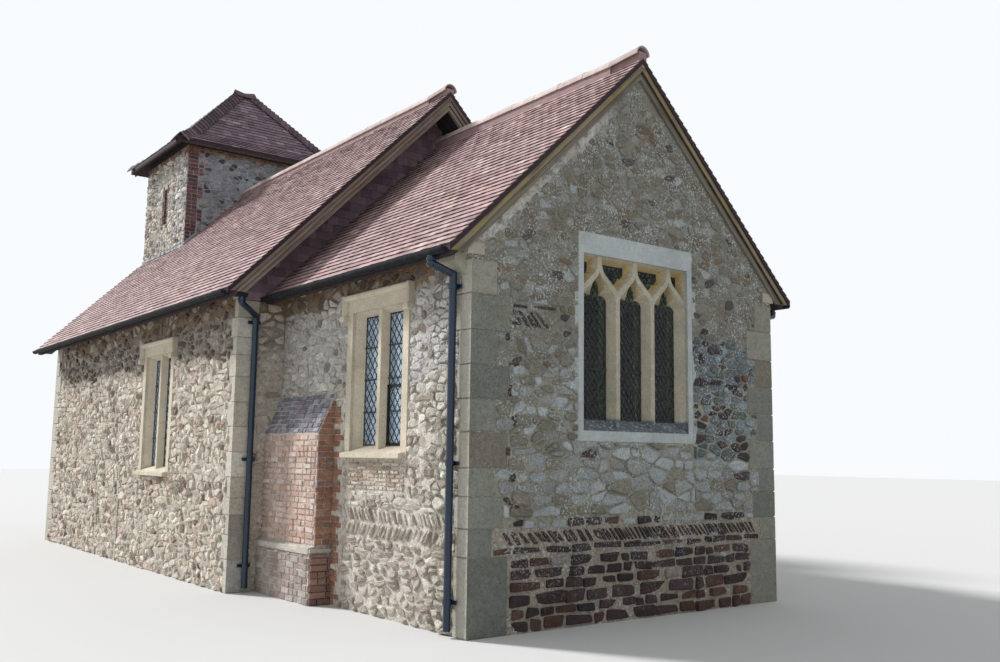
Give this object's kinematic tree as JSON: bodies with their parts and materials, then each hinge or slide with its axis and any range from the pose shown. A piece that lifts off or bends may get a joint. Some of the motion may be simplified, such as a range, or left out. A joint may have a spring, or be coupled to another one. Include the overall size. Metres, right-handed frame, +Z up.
{
  "type": "small chapel",
  "caption": "Small stone chapel with tiled nave and chancel, a low square tower with a hipped roof, traceried east window and brick buttress.",
  "frame": {"origin": "on the ground under the middle of the building's overall length and width", "axes": "+Z up; the traceried east gable faces -Y and the tower stands at +Y; -X is the long side with the brick buttress"},
  "size_m": [6.446, 13.36, 9.3739],
  "materials": {
    "rubble_stone": "rough random rubble with wide mortar joints",
    "floor_stone": "worn flagstones",
    "red_brick": "matt brick",
    "dressed_stone": "weathered limestone",
    "leaded_glass": "dark quarries in lead",
    "door_oak": "weathered oak",
    "roof_timber": "rough sawn",
    "clay_tile": "matt hand-made clay",
    "dark_tile": "matt clay darkened by weather",
    "ridge_tile": "matt clay with mortar",
    "sheet_lead": "dull sheet lead",
    "barge_oak": "weathered oak",
    "black_iron": "black paint"
  },
  "bodies": {
    "root": {"chancel_east_wall": "rubble_stone", "chancel_south_wall": "rubble_stone", "chancel_north_wall": "rubble_stone", "nave_east_wall": "rubble_stone", "nave_south_wall": "rubble_stone", "nave_north_wall": "rubble_stone", "nave_west_wall": "rubble_stone", "tower_east_wall": "rubble_stone", "tower_south_wall": "rubble_stone", "tower_north_wall": "rubble_stone", "tower_west_wall": "rubble_stone", "stone_floor": "floor_stone", "brick_buttress": "red_brick", "kneeler_stones": "dressed_stone", "east_window_tracery": "dressed_stone", "chancel_south_window": "dressed_stone", "chancel_north_window": "dressed_stone", "nave_south_window": "dressed_stone", "nave_north_window": "dressed_stone", "west_door_surround": "dressed_stone", "east_window_glazing": "leaded_glass", "side_window_glazing": "leaded_glass", "west_door": "door_oak", "chancel_roof_deck": "roof_timber", "nave_roof_deck": "roof_timber", "tower_roof_deck": "roof_timber", "chancel_tiles_south": "clay_tile", "chancel_tiles_north": "clay_tile", "nave_tiles_south": "clay_tile", "nave_tiles_north": "clay_tile", "tower_tiles": "dark_tile", "tower_hip_tiles": "dark_tile", "nave_tile_hanging": "dark_tile", "chancel_ridge_tiles": "ridge_tile", "nave_ridge_tiles": "ridge_tile", "lead_flashings": "sheet_lead", "chancel_bargeboards": "barge_oak", "nave_east_bargeboards": "barge_oak", "nave_west_bargeboards": "barge_oak", "gutters_south": "black_iron", "gutters_north": "black_iron", "downpipes_south": "black_iron", "downpipes_north": "black_iron"}
  },
  "joints": []
}
